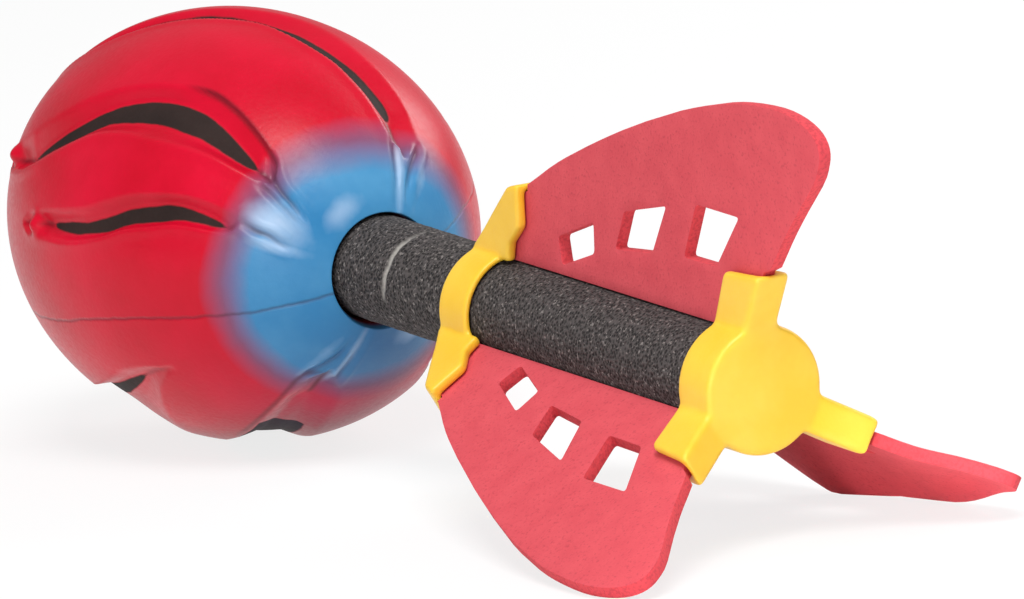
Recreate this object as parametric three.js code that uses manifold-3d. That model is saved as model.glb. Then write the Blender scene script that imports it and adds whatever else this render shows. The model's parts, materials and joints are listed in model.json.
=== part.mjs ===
// A vortex throwing toy: an egg-shaped foam ball on a foam-covered tail tube, with three fins
// held between a collar and an end cap.
// Sizes are in millimetres. In the toy's own frame x runs forward along the axis from the rear
// face of the end cap, and the first fin points straight up. At the end the toy is laid down
// as it rests on a level surface, on the ball and the two lower fins, with +Z up.
import * as THREE from 'three';
import { mergeVertices } from 'three/addons/utils/BufferGeometryUtils.js';
import Module from 'manifold-3d';

const wasm = await Module();
wasm.setup();

// Clearance between pieces that bear on each other or are pushed together
const seatGap = 0.3;

// Foam sleeve and the tube inside it
const sleeveDiameter = 25;
const tubeDiameter = 12.4;
const tubeWall = 1.5;
const sleeveInBall = 36;

// Ball: an ellipsoid of revolution about the toy's axis
const ballLength = 139;
const ballDiameter = 101.6;
const ballCentre = 236;
const mouthDiameter = 28.6;
const mouthTaperLength = 5;
const hollowDepth = 2.4;
const hollowBank = 5;

// Each hollow's middle line, from its rear tip forward. A row is the distance ahead of the
// ball's centre as a share of half its length, the angle from the upper fin as a share of a
// turn, and half the hollow floor's width as a share of the ball's diameter.
const hollowShares = [
  [[-0.79, 0.122, 0.003], [-0.69, 0.112, 0.014], [-0.61, 0.109, 0.023], [-0.446, 0.111, 0.032],
    [-0.33, 0.117, 0.032], [-0.216, 0.123, 0.03], [-0.086, 0.133, 0.025], [0.058, 0.149, 0.022],
    [0.2, 0.165, 0.013], [0.317, 0.175, 0.007], [0.547, 0.192, 0.003]],
  [[-0.76, 0.184, 0.003], [-0.633, 0.185, 0.013], [-0.475, 0.194, 0.02], [-0.374, 0.202, 0.021],
    [-0.273, 0.211, 0.017], [-0.173, 0.22, 0.01], [0.022, 0.227, 0.003], [0.26, 0.232, 0.002]],
  [[-0.806, -0.075, 0.003], [-0.69, -0.063, 0.017], [-0.518, -0.05, 0.027],
    [-0.317, -0.034, 0.027], [-0.201, -0.026, 0.027], [-0.086, -0.012, 0.024],
    [0.058, 0.011, 0.021], [0.201, 0.034, 0.015], [0.345, 0.058, 0.008], [0.49, 0.076, 0.003],
    [0.65, 0.09, 0.002]],
  [[-0.43, -0.167, 0.002], [-0.288, -0.155, 0.004], [-0.2, -0.147, 0.011],
    [-0.086, -0.136, 0.017], [0.058, -0.121, 0.022], [0.2, -0.107, 0.021],
    [0.317, -0.095, 0.011], [0.46, -0.079, 0.003]],
];
const hollowSets = 2;

// Insert that is moulded into the ball and holds the front end of the tube
const insertRear = 226;
const insertLength = 26;
const insertWall = 2.1;
const insertFlangeDiameter = 30;
const insertFlangeThickness = 3;

// End cap: a cup over the rear end of the sleeve, with three ears for the fins
const capDiameter = 29.6;
const capLength = 13.7;
const capFloor = 2;
const capEdgeRound = 1.3;
const capSpigotLength = 10;
const capEarReach = 27.5;
const capEarSweep = 6.8;
const capEarTipLength = 15.5;
const capEarTipDrop = 1;
const capEarCorner = 2.5;
const capEarWeb = 1.8;

// Collar: a band on the sleeve ahead of the fins, with three swept ears
const collarDiameter = 29;
const collarRear = 107.2;
const collarLength = 12.3;
const collarEarReach = 31.8;
const collarEarSweep = 21.5;
const collarEarWeb = 1.6;

// Side view of a collar ear. A row is the distance behind the band's front rim as a share of
// the sweep, and the height above the band as a share of the ear's height.
const collarEarFrontShares = [[0, 0], [0.242, 0.277], [0.451, 0.538], [0.66, 0.792],
  [0.777, 0.931], [1, 1]];
const collarEarRearShares = [[0.995, 0.41], [0.898, 0.289], [0.772, 0.156], [0.74, 0]];

// Fins: flat foam sheet
const finCount = 3;
const finThickness = 3;
const finReach = 65.6;
const finTrail = 30.6;
const earThickness = 8.9;

// Free edge of a fin from the collar ear round the tip to the cap ear. A row is the distance
// ahead of the tip as a share of the way to the collar, and the height above the fin's root as a
// share of the way to the reach.
const finEdgeShares = [[0.929, 0.356], [0.845, 0.473], [0.773, 0.557], [0.681, 0.653],
  [0.58, 0.75], [0.485, 0.831], [0.393, 0.902], [0.29, 0.962], [0.215, 0.989], [0.134, 1],
  [0.077, 0.987], [0.033, 0.955], [0.009, 0.913], [0, 0.862], [0.005, 0.805], [0.023, 0.727],
  [0.082, 0.572], [0.125, 0.449], [0.168, 0.307]];

// Corners of the three windows in the same shares
const windowShares = [
  [[0.831, 0.042], [0.838, 0.165], [0.722, 0.274], [0.724, 0.137]],
  [[0.656, 0.186], [0.621, 0.365], [0.484, 0.445], [0.539, 0.218]],
  [[0.438, 0.244], [0.390, 0.492], [0.260, 0.488], [0.337, 0.246]],
];
const windowCorner = 1.2;

// Number of flats on round pieces, and of grid cells on the ball
const roundFlats = 48;
const tubeFlats = 32;
const ballCellsAround = 96;
const ballCellsAlong = 46;
const curveSteps = 44;
const cornerSteps = 4;
const hollowSteps = 40;

const sleeveRadius = sleeveDiameter / 2;
const tubeRadius = tubeDiameter / 2;
const capRadius = capDiameter / 2;
const collarRadius = collarDiameter / 2;
const collarFront = collarRear + collarLength;
const ballRadius = ballDiameter / 2;
const mouthRadius = mouthDiameter / 2;
const mouthX = ballCentre - (ballLength / 2) * Math.sqrt(1 - (mouthRadius / ballRadius) ** 2);
const sleeveFront = mouthX + sleeveInBall;
const insertFront = insertRear + insertLength;

function toSolid(geometry) {
  const bare = geometry.clone();
  bare.deleteAttribute('normal');
  bare.deleteAttribute('uv');
  const merged = mergeVertices(bare, 1e-4);
  return new wasm.Manifold(new wasm.Mesh({
    numProp: 3,
    vertProperties: new Float32Array(merged.attributes.position.array),
    triVerts: new Uint32Array(merged.index.array),
  }));
}

function toGeometry(solid) {
  const mesh = solid.getMesh();
  const geometry = new THREE.BufferGeometry();
  geometry.setAttribute('position', new THREE.BufferAttribute(mesh.vertProperties, 3));
  geometry.setIndex(new THREE.BufferAttribute(mesh.triVerts, 1));
  geometry.computeVertexNormals();
  return geometry;
}

// Turns a closed section of [x, radius] points about the toy's axis
function turned(section, flats) {
  const points = section.map(([x, radius]) => new THREE.Vector2(radius, x));
  if (THREE.ShapeUtils.area(points) < 0) points.reverse();
  points.push(points[0].clone());
  const geometry = new THREE.LatheGeometry(points, flats);
  geometry.rotateZ(-Math.PI / 2);
  return geometry;
}

// Extrudes a shape of (x, radius) points to a plate of the given thickness on the first fin's
// plane
function plate(shape, thickness) {
  const geometry = new THREE.ExtrudeGeometry(shape, { depth: thickness, bevelEnabled: false });
  geometry.translate(0, 0, -thickness / 2);
  geometry.rotateX(Math.PI / 2);
  return geometry;
}

function shapeOf(points) {
  return new THREE.Shape(points.map(([x, y]) => new THREE.Vector2(x, y)));
}

// Replaces one corner of a polygon by an arc-like curve that starts the given distance from it
function rounded(before, corner, after, distance) {
  const c = new THREE.Vector2(...corner);
  const a = new THREE.Vector2(...before).sub(c).setLength(distance).add(c);
  const b = new THREE.Vector2(...after).sub(c).setLength(distance).add(c);
  const curve = new THREE.QuadraticBezierCurve(a, c, b);
  return curve.getPoints(cornerSteps).map((p) => [p.x, p.y]);
}

// Moves an open line of points sideways, to the left of its direction when distance is positive
function shifted(line, distance) {
  return line.map(([x, y], i) => {
    const from = line[Math.max(i - 1, 0)];
    const to = line[Math.min(i + 1, line.length - 1)];
    const side = new THREE.Vector2(from[1] - to[1], to[0] - from[0]).setLength(distance);
    return [x + side.x, y + side.y];
  });
}

function onEveryFinPlane(solid) {
  const turns = Array.from({ length: finCount }, (_, k) => solid.rotate([(360 / finCount) * k, 0, 0]));
  return turns.reduce((sum, next) => sum.add(next));
}

// Ball

const hollowLines = hollowShares.flatMap((rows) => {
  const curve = new THREE.CatmullRomCurve3(rows.map((row) => new THREE.Vector3(...row)));
  const points = curve.getPoints(hollowSteps);
  return Array.from({ length: hollowSets }, (_, k) => points.map((p) => ({
    x: ballCentre + (p.x * ballLength) / 2,
    angle: (p.y + k / hollowSets) * 2 * Math.PI,
    half: p.z * ballDiameter,
  })));
});

// How far the hollows sink the surface at x and angle, where its radius is as given
function sinkAt(x, angle, radius) {
  let sink = 0;
  for (const line of hollowLines) {
    for (const point of line) {
      const turn = Math.atan2(Math.sin(angle - point.angle), Math.cos(angle - point.angle));
      const away = Math.hypot(x - point.x, turn * radius) - point.half;
      const share = THREE.MathUtils.smoothstep(hollowBank - away, 0, hollowBank);
      sink = Math.max(sink, share * hollowDepth * Math.min(1, (point.half * 2) / hollowBank));
    }
  }
  return sink;
}

function ballSkin() {
  const geometry = new THREE.SphereGeometry(1, ballCellsAround, ballCellsAlong);
  geometry.rotateZ(-Math.PI / 2);
  const position = geometry.attributes.position;
  const unit = new THREE.Vector3();
  const outward = new THREE.Vector3();
  const size = new THREE.Vector3(ballLength / 2, ballRadius, ballRadius);
  for (let i = 0; i < position.count; i += 1) {
    unit.fromBufferAttribute(position, i);
    outward.copy(unit).divide(size).normalize();
    unit.multiply(size);
    unit.x += ballCentre;
    const radius = Math.hypot(unit.y, unit.z);
    unit.addScaledVector(outward, -sinkAt(unit.x, Math.atan2(unit.y, unit.z), radius));
    position.setXYZ(i, unit.x, unit.y, unit.z);
  }
  return geometry;
}

function ballHead() {
  const toolRear = ballCentre - ballLength;
  const sleeveHole = sleeveRadius + seatGap;
  const tubeHole = tubeRadius + seatGap;
  const insertHole = tubeRadius + insertWall + 2 * seatGap;
  const flangeHole = insertFlangeDiameter / 2 + seatGap;
  const flangeFront = insertRear + insertFlangeThickness + seatGap;
  const hole = turned([
    [toolRear, 0],
    [insertFront + seatGap, 0],
    [insertFront + seatGap, insertHole],
    [flangeFront, insertHole],
    [flangeFront, flangeHole],
    [insertRear - seatGap, flangeHole],
    [insertRear - seatGap, tubeHole],
    [sleeveFront + seatGap, tubeHole],
    [sleeveFront + seatGap, sleeveHole],
    [mouthX + mouthTaperLength, sleeveHole],
    [mouthX, mouthRadius],
    [toolRear, mouthRadius],
  ], roundFlats);
  return toGeometry(toSolid(ballSkin()).subtract(toSolid(hole)));
}

// Insert in the ball, tube and sleeve

function headInsert() {
  const bore = tubeRadius + seatGap;
  const outer = bore + insertWall;
  const flange = insertFlangeDiameter / 2;
  return turned([
    [insertRear, bore],
    [insertFront - insertWall, bore],
    [insertFront - insertWall, 0],
    [insertFront, 0],
    [insertFront, outer],
    [insertRear + insertFlangeThickness, outer],
    [insertRear + insertFlangeThickness, flange],
    [insertRear, flange],
  ], roundFlats);
}

function tailTube() {
  const rear = capFloor + seatGap;
  const front = insertFront - insertWall - seatGap;
  const bore = tubeRadius - tubeWall;
  return turned([[rear, bore], [front, bore], [front, tubeRadius], [rear, tubeRadius]], tubeFlats);
}

function foamSleeve() {
  const rear = capFloor + seatGap;
  const bore = tubeRadius + seatGap;
  return turned([
    [rear, bore],
    [sleeveFront, bore],
    [sleeveFront, sleeveRadius],
    [rear, sleeveRadius],
  ], roundFlats);
}

// End cap

const capEarRear = [[0, capRadius], [-capEarSweep, capEarReach]];

function endCap() {
  const cupBore = sleeveRadius + seatGap;
  const spigot = tubeRadius - tubeWall - seatGap;
  const cup = toSolid(turned([
    [0, 0],
    [0, capRadius - capEdgeRound],
    [capEdgeRound / 4, capRadius - capEdgeRound / 4],
    [capEdgeRound, capRadius],
    [capLength, capRadius],
    [capLength, cupBore],
    [capFloor, cupBore],
    [capFloor, spigot],
    [capFloor + capSpigotLength, spigot],
    [capFloor + capSpigotLength, 0],
  ], roundFlats));
  const inner = capRadius - capEdgeRound;
  const tipFront = [capEarTipLength - capEarSweep, capEarReach - capEarTipDrop];
  const ear = toSolid(plate(shapeOf([
    [0, inner],
    [capLength, inner],
    [capLength, capRadius],
    ...rounded([capLength, capRadius], tipFront, capEarRear[1], capEarCorner),
    capEarRear[1],
    capEarRear[0],
  ]), earThickness));
  const slotRear = shifted(capEarRear, -capEarWeb);
  const slotTop = [slotRear[1][0] - capEarSweep, slotRear[1][1] + capEarReach];
  const slot = toSolid(plate(shapeOf([
    [slotRear[0][0], capRadius],
    [2 * capLength, capRadius],
    [2 * capLength, slotTop[1]],
    slotTop,
    slotRear[1],
  ]), finThickness + 2 * seatGap));
  return toGeometry(cup.add(onEveryFinPlane(ear)).subtract(onEveryFinPlane(slot)));
}

// Collar

function onCollarEar([behindShare, heightShare]) {
  const height = collarEarReach - collarRadius;
  return [collarFront - behindShare * collarEarSweep, collarRadius + heightShare * height];
}

const collarEarFront = collarEarFrontShares.map(onCollarEar);
const collarEarEnd = collarFront - collarEarSweep;

function frontCollar() {
  const bore = sleeveRadius + seatGap;
  const band = toSolid(turned([
    [collarRear, bore],
    [collarFront, bore],
    [collarFront, collarRadius],
    [collarRear, collarRadius],
  ], roundFlats));
  const foot = (bore + collarRadius) / 2;
  const earRear = collarEarRearShares.map(onCollarEar);
  const ear = toSolid(plate(shapeOf([
    [earRear[earRear.length - 1][0], bore],
    [collarRear, bore],
    [collarRear, foot],
    [collarFront, foot],
    ...collarEarFront,
    ...earRear,
  ]), earThickness));
  const slotFront = shifted(collarEarFront, collarEarWeb);
  const last = slotFront[slotFront.length - 1];
  const slot = toSolid(plate(shapeOf([
    [slotFront[0][0], collarRadius],
    ...slotFront.slice(1),
    [collarRear - collarEarSweep, last[1]],
    [collarRear - collarEarSweep, sleeveRadius],
    [collarRear, sleeveRadius],
    [collarRear, collarRadius],
  ]), finThickness + 2 * seatGap));
  return toGeometry(band.add(onEveryFinPlane(ear)).subtract(onEveryFinPlane(slot)));
}

// Fins

const finRoot = sleeveRadius + seatGap;

function onFin([aheadShare, heightShare]) {
  const x = aheadShare * (collarRear + finTrail) - finTrail;
  return [x, finRoot + heightShare * (finReach - finRoot)];
}

function finShape() {
  const overCap = capRadius + seatGap;
  const overCollar = collarRadius + seatGap;
  const front = shifted(collarEarFront, collarEarWeb + seatGap);
  const rear = shifted(capEarRear, -capEarWeb - seatGap);
  const free = new THREE.SplineCurve(finEdgeShares.map((row) => new THREE.Vector2(...onFin(row))));
  const edge = free.getPoints(curveSteps).map((p) => [p.x, p.y]);
  const frontLast = front[front.length - 1];
  const frontSlope = (front[1][0] - front[0][0]) / (front[1][1] - front[0][1]);
  const rearSlope = (rear[1][0] - rear[0][0]) / (rear[1][1] - rear[0][1]);
  const rearTop = capEarReach + seatGap;
  const shape = shapeOf([
    [rear[0][0] + (overCap - rear[0][1]) * rearSlope, overCap],
    [capLength + seatGap, overCap],
    [capLength + seatGap, finRoot],
    [collarRear - seatGap, finRoot],
    [collarRear - seatGap, overCollar],
    [front[0][0] + (overCollar - front[0][1]) * frontSlope, overCollar],
    ...front.slice(1, -1),
    [collarEarEnd - seatGap, frontLast[1]],
    [collarEarEnd - seatGap, edge[0][1]],
    ...edge,
    [rear[0][0] + (rearTop - rear[0][1]) * rearSlope, rearTop],
  ]);
  shape.holes = windowShares.map((rows) => {
    const corners = rows.map(onFin);
    const round = corners.flatMap((corner, i) => rounded(
      corners[(i + corners.length - 1) % corners.length],
      corner,
      corners[(i + 1) % corners.length],
      windowCorner,
    ));
    return new THREE.Path(round.map(([x, y]) => new THREE.Vector2(x, y)));
  });
  return shape;
}

function fin(index) {
  const mesh = new THREE.Mesh(plate(finShape(), finThickness), finFoam);
  mesh.rotation.x = (2 * Math.PI * index) / finCount;
  return mesh;
}

// Materials

const ballFoam = new THREE.MeshStandardMaterial({ color: 0xd8202f, roughness: 0.35, metalness: 0 });
const insertPlastic = new THREE.MeshStandardMaterial({ color: 0xe4e2dc, roughness: 0.5, metalness: 0 });
const tubePlastic = new THREE.MeshStandardMaterial({ color: 0xd9d8d2, roughness: 0.5, metalness: 0 });
const sleeveFoam = new THREE.MeshStandardMaterial({ color: 0x3d3a3c, roughness: 0.95, metalness: 0 });
const yellowPlastic = new THREE.MeshStandardMaterial({ color: 0xf7d02c, roughness: 0.4, metalness: 0 });
const finFoam = new THREE.MeshStandardMaterial({ color: 0xd4515b, roughness: 0.9, metalness: 0 });

// The toy in its own frame

const toy = new THREE.Group();

function add(name, mesh) {
  mesh.name = name;
  toy.add(mesh);
  return mesh;
}

const head = add('ball_head', new THREE.Mesh(ballHead(), ballFoam));
add('head_insert', new THREE.Mesh(headInsert(), insertPlastic));
add('tail_tube', new THREE.Mesh(tailTube(), tubePlastic));
add('foam_sleeve', new THREE.Mesh(foamSleeve(), sleeveFoam));
add('front_collar', new THREE.Mesh(frontCollar(), yellowPlastic));
add('rear_cap', new THREE.Mesh(endCap(), yellowPlastic));
add('fin_1', fin(0));
const lowerFin = add('fin_2', fin(1));
add('fin_3', fin(2));

// Laying the toy down: the tilt at which the ball and the lower fins are equally low

function lowest(mesh, tilt) {
  mesh.updateMatrixWorld(true);
  const position = mesh.geometry.attributes.position;
  const point = new THREE.Vector3();
  let low = Infinity;
  for (let i = 0; i < position.count; i += 1) {
    point.fromBufferAttribute(position, i).applyMatrix4(mesh.matrixWorld);
    low = Math.min(low, point.x * Math.sin(tilt) + point.z * Math.cos(tilt));
  }
  return low;
}

let level = 0;
let steep = Math.PI / 12;
while (steep - level > 1e-7) {
  const middle = (level + steep) / 2;
  if (lowest(head, middle) < lowest(lowerFin, middle)) {
    level = middle;
  } else {
    steep = middle;
  }
}
toy.rotation.y = -steep;
toy.updateMatrixWorld(true);
const bounds = new THREE.Box3().setFromObject(toy, true);
const middle = bounds.getCenter(new THREE.Vector3());
toy.position.set(-middle.x, -middle.y, -bounds.min.z);

const scene = new THREE.Group();
scene.add(toy);
export default scene;
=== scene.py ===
# %% [markdown]
# # A vortex throwing toy
#
# The toy is a soft foam ball on a foam-covered tail tube, with three foam fins held between a
# yellow collar and a yellow end cap. The imported model gives its frame: every piece made here
# sits in the place of the solid that it stands for, in metres, +Z up.

# %% The imported frame
import json
import math
from functools import reduce

import bmesh
import bpy
import numpy as np
from mathutils import Matrix, Vector


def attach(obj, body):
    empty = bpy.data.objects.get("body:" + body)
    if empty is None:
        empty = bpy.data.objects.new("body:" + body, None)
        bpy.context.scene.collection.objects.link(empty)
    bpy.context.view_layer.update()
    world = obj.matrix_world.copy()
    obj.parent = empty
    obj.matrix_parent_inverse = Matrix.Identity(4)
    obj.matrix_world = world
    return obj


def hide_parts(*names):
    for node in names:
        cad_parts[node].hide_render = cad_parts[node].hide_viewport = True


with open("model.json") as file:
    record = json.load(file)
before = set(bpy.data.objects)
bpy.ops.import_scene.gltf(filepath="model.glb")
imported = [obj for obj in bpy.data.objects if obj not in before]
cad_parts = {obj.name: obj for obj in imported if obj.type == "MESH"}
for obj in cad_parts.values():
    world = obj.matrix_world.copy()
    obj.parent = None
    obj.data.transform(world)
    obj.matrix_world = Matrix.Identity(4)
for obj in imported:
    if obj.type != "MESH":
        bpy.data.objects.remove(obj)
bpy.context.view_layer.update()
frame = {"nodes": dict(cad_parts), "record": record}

# %% [markdown]
# ## The toy's own axes
#
# The toy lies on its ball and its two lower fins, so its axis isn't level. Shapes are easier to
# say in the toy's own axes: x runs forward from the flat end face, z up along the upper fin and
# y to the left. The record states the end face as a mount, and its place and direction turn
# those axes into the frame's.

# %% From the toy's axes to the frame
MM = 0.001
END_FACE = frame["record"]["mounts"][0]
FORWARD = -Vector(END_FACE["axis"]).normalized()
LEFT = Vector((0, 1, 0))
UP = FORWARD.cross(LEFT)
PLACE = Matrix((FORWARD, LEFT, UP)).transposed().to_4x4()
PLACE.translation = Vector(END_FACE["pos_m"])
PLACE_TURN = np.array(PLACE.to_3x3())
PLACE_SHIFT = np.array(PLACE.translation)
print("the axis rises", round(math.degrees(math.asin(FORWARD.z)), 2), "degrees")


def placed(points_mm):
    """Points in the toy's axes in millimetres, turned and moved into the frame in metres."""
    return (points_mm * MM) @ PLACE_TURN.T + PLACE_SHIFT


def toy_axes(points_m):
    """The way back: points of the frame in metres as toy millimetres."""
    return ((points_m - PLACE_SHIFT) @ PLACE_TURN) / MM


# %% [markdown]
# ## Helpers for surfaces
#
# Most pieces here are surfaces of two parameters, worked out as whole arrays: one index runs
# along a profile and the other round the axis. Such a surface is a grid of quads whose last
# column joins the first, with a fan of triangles at each pole.

# %% Grids into meshes


def ring_faces(rows, columns, closed=False):
    """Quads between the rows of a grid whose columns close on themselves, and whose last row
    joins its first if it is closed. They face outwards when rows run backwards from the nose
    and columns turn from up towards the left."""
    row = np.arange(rows if closed else rows - 1)[:, None]
    column = np.arange(columns)[None, :]
    right = (column + 1) % columns
    behind = (row + 1) % rows
    quads = np.stack([row * columns + column, row * columns + right,
                      behind * columns + right, behind * columns + column], axis=-1)
    return quads.reshape(-1, 4)


def capped(grid, first, last):
    """Points, quads and triangles of a grid with a fan to a first and to a last point."""
    rows, columns = grid.shape[:2]
    column = np.arange(columns)
    right = (column + 1) % columns
    end = rows * columns
    front = np.stack([np.full(columns, end), right, column], axis=-1)
    rear = np.stack([column, right, np.full(columns, columns + 1)], axis=-1) + end - columns
    return (np.vstack([grid.reshape(-1, 3), first, last]), ring_faces(rows, columns),
            np.vstack([front, rear]))


def placed_object(name, data):
    """A new object of a mesh, a lamp or a camera in the scene."""
    made = bpy.data.objects.new(name, data)
    bpy.context.scene.collection.objects.link(made)
    return made


def shown_piece(mesh, node):
    """The piece with a mesh, smooth shaded, that stands for the named CAD node."""
    mesh.shade_smooth()
    piece = placed_object(mesh.name, mesh)
    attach(piece, "root")
    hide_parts(node)
    print(mesh.name, "has", len(mesh.vertices), "points and", len(mesh.polygons), "faces")
    return piece


def new_piece(name, slot_name, node, points_mm, quads, triangles=np.empty((0, 3), int)):
    """A shown piece of points in toy millimetres. The whole arrays go into its mesh at once: the
    corners of all faces in a row, and where each starts."""
    corners = np.concatenate([quads.ravel(), triangles.ravel()]).astype(np.int32)
    sizes = np.repeat([4, 3], [len(quads), len(triangles)])
    mesh = bpy.data.meshes.new(name)
    mesh.vertices.add(len(points_mm))
    mesh.vertices.foreach_set("co", placed(points_mm).astype(np.float32).ravel())
    mesh.loops.add(len(corners))
    mesh.loops.foreach_set("vertex_index", corners)
    mesh.polygons.add(len(sizes))
    mesh.polygons.foreach_set("loop_start", (np.cumsum(sizes) - sizes).astype(np.int32))
    mesh.update(calc_edges=True)
    return shown_piece(mesh, node)


def point_attribute(piece, name, values):
    """Stores one number for each point of the piece, for its material to read."""
    layer = piece.data.attributes.new(name, "FLOAT", "POINT")
    layer.data.foreach_set("value", np.asarray(values, np.float32).ravel())


def smooth_step(low, high, value):
    """0 below low, 1 above high, and an S-shaped ramp between them."""
    share = np.clip((value - low) / (high - low), 0, 1)
    return share * share * (3 - 2 * share)


def bell(gap, width):
    """1 where the gap is zero, falling off within the width on either side."""
    return np.exp(-(gap / width) ** 2)


# %% [markdown]
# ## The ball
#
# The real ball is moulded foam with a glossy skin: an egg-shaped solid of revolution with
# flame-shaped hollows swirling round it, creases from them to the mouth, a seam where the mould
# halves meet, and a round mouth for the foam-covered tail. A sculpted mesh could do it, but all
# of these follow curves that can be written down. So the skin is a function of the distance
# along the axis and the angle: an ellipsoid, sunk by the depth of the hollows and creases.

# %% Sizes of the ball
HALF_LENGTH = 139.0 / 2
BALL_RADIUS = 101.6 / 2
BALL_CENTRE = 236.0
MOUTH_RADIUS = 14.0
MOUTH_X = BALL_CENTRE - HALF_LENGTH * math.sqrt(1 - (MOUTH_RADIUS / BALL_RADIUS) ** 2)
MOUTH_LEAN = 0.5
MOUTH_LEAN_TURN = math.radians(150)
MOUTH_LEAN_SPAN = (MOUTH_X + 9, MOUTH_X)
SLEEVE_RADIUS = 12.5
SLEEVE_FRONT = MOUTH_X + 36.0
TUBE_RADIUS = 6.2
SEAT_GAP = 0.3
HOLE_RADIUS = SLEEVE_RADIUS + SEAT_GAP
BORE_RADIUS = TUBE_RADIUS + SEAT_GAP
EDGE_BREAK = 0.4
FLANGE_REAR = 225.7
FLANGE_FRONT = 229.3
FLANGE_HOLE = 15.3
CUP_HOLE = 9.2
SOCKET_END = 252.3
print("the ball's mouth is", round(MOUTH_X, 1), "mm ahead of the end face")

# %% [markdown]
# Each hollow is a flame: from a tip near the mouth it widens and swirls forward to another tip.
# A row gives the distance ahead of the end face in millimetres, and four angles in degrees from
# the upper fin towards the left: the upper rim, the two sides of the black floor, and the lower
# rim. Between the rows the curves are smooth. The same flames come again half a turn round, as
# both halves of the mould are alike.

# %% Stations of the flames
BROAD_FLAME = [
    (180.5, 45, 45, 45, 45), (182, 37.5, 43.6, 43.6, 47.5), (184, 35, 43, 43, 48),
    (188, 32.5, 40, 44, 48), (193.5, 30.5, 37.5, 44, 48), (199, 29.5, 36, 43.5, 49),
    (205, 29.5, 35.5, 44, 50.5), (213, 32, 37, 45, 52), (221, 35.5, 40, 47.5, 53),
    (230, 40, 45, 51, 56), (240, 45.5, 52.5, 57.5, 61.5), (250, 52, 59.5, 62.5, 67),
    (258, 56, 65, 66.5, 70), (261, 58, 67, 67, 71), (266, 60.5, 67.5, 67.5, 72),
    (274, 65.5, 69, 69, 72.5), (278, 69.5, 69.5, 69.5, 69.5)]
SMALL_FLAME = [
    (182.8, 66, 66, 66, 66), (184.5, 62.5, 69, 69, 69.5), (187.5, 61.5, 67.5, 70, 71),
    (192, 61.5, 66.5, 70.5, 71.5), (197, 62.5, 66.5, 71.5, 72.5), (203, 64.5, 68.5, 74, 75),
    (210, 67, 71.5, 76.5, 78), (217, 70.5, 75.5, 80, 81.5), (224, 74, 78.4, 81.8, 84),
    (231, 76, 79.7, 83, 85.5), (237, 77.2, 80.9, 82.9, 86), (240.5, 77.9, 82, 82, 86.3),
    (244, 78.5, 82.5, 82.5, 86.5), (250, 80, 83.5, 83.5, 86.5), (254, 84, 84, 84, 84)]
LONG_FLAME = [
    (176, -26, -26, -26, -26), (180, -35, -24, -24, -17.5), (184, -34, -22.5, -22.5, -15),
    (188, -32, -24, -20, -13.5), (194, -29.5, -21, -16, -11), (200, -27, -18.5, -12.5, -9),
    (206, -24.5, -15.5, -9.5, -6), (214, -21.5, -12.5, -6, -3), (222, -18.5, -9.5, -2.5, -0.5),
    (230, -13, -5.5, 1.5, 5), (240, -4.5, 1.5, 8.5, 12), (250, 4.5, 9, 16, 20),
    (260, 14, 18, 24, 27.5), (268, 20.5, 27, 28, 31), (272, 24, 29, 29, 32.5),
    (278, 29, 32, 32, 35), (282, 32.5, 32.5, 32.5, 32.5)]
SHORT_FLAME = [
    (203, -59, -59, -59, -59), (208, -60, -58, -58, -57), (213, -60.5, -56.5, -56.5, -54.5),
    (218, -60, -54.5, -53.5, -50), (224, -58.5, -52.5, -49.5, -43), (230, -55, -50, -46, -34.5),
    (240, -50, -45.5, -40.5, -27), (250, -44.5, -41, -36, -21), (258, -39.5, -35.5, -33, -22),
    (262, -36.5, -32.5, -32.5, -23.5), (268, -31.5, -28, -28, -24.5), (276, -23, -23, -23, -23)]

# %% [markdown]
# The black is brushed in by hand and the soft foam gives, so a flame isn't quite the same on
# both halves. Pairs of numbers stand for its near and its far copy: which share of the upper
# and of the lower wall the black covers, how much more of the upper one towards the front, how
# far ahead it starts, by how many degrees the lower rim lies farther out, and how strong the
# painted shade along the upper rim's edge is. The broad flame's upper wall drops off sharply
# over its rear part, up to the distance given. Where a floor is narrower than a line, a thin
# line of painted shade is drawn along it.

# %% The four flames
FLAMES = [
    dict(stations=BROAD_FLAME, drop_end=214, rim_shade=(1, 1)),
    dict(stations=SMALL_FLAME),
    dict(stations=LONG_FLAME, cover=(0.12, 0.8), low_cover=(0, 0.4), front_cover=(0.3, 0),
         start=(185, 200), low_shift=(0, 7), rim_shade=(0, 0.8)),
    dict(stations=SHORT_FLAME, low_shift=(12, 12)),
]
PAIRS = ("cover", "low_cover", "front_cover", "start", "low_shift", "rim_shade")
FLAME_COPIES = 2
FLAME_STEPS = 8
FLAME_DEPTH = 2.8
FLAME_FADE = 5.0
LEAST_WALL = 1.4
LIP_LIFT = 0.4
LIP_WIDTH = 1.7
DROP_SHARE = 0.4
DROP_LENGTH = 9.0
DROP_STEEPNESS = 5
RIM_SHADE_SPAN = (216, 204)
FRONT_SPAN = (222, 246)
LINE_WIDTH = 1.2
LINE_THINNING = 0.4
VALLEY_SHADE_WIDTH = 0.75
UNPAINTED = -30.0
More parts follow.
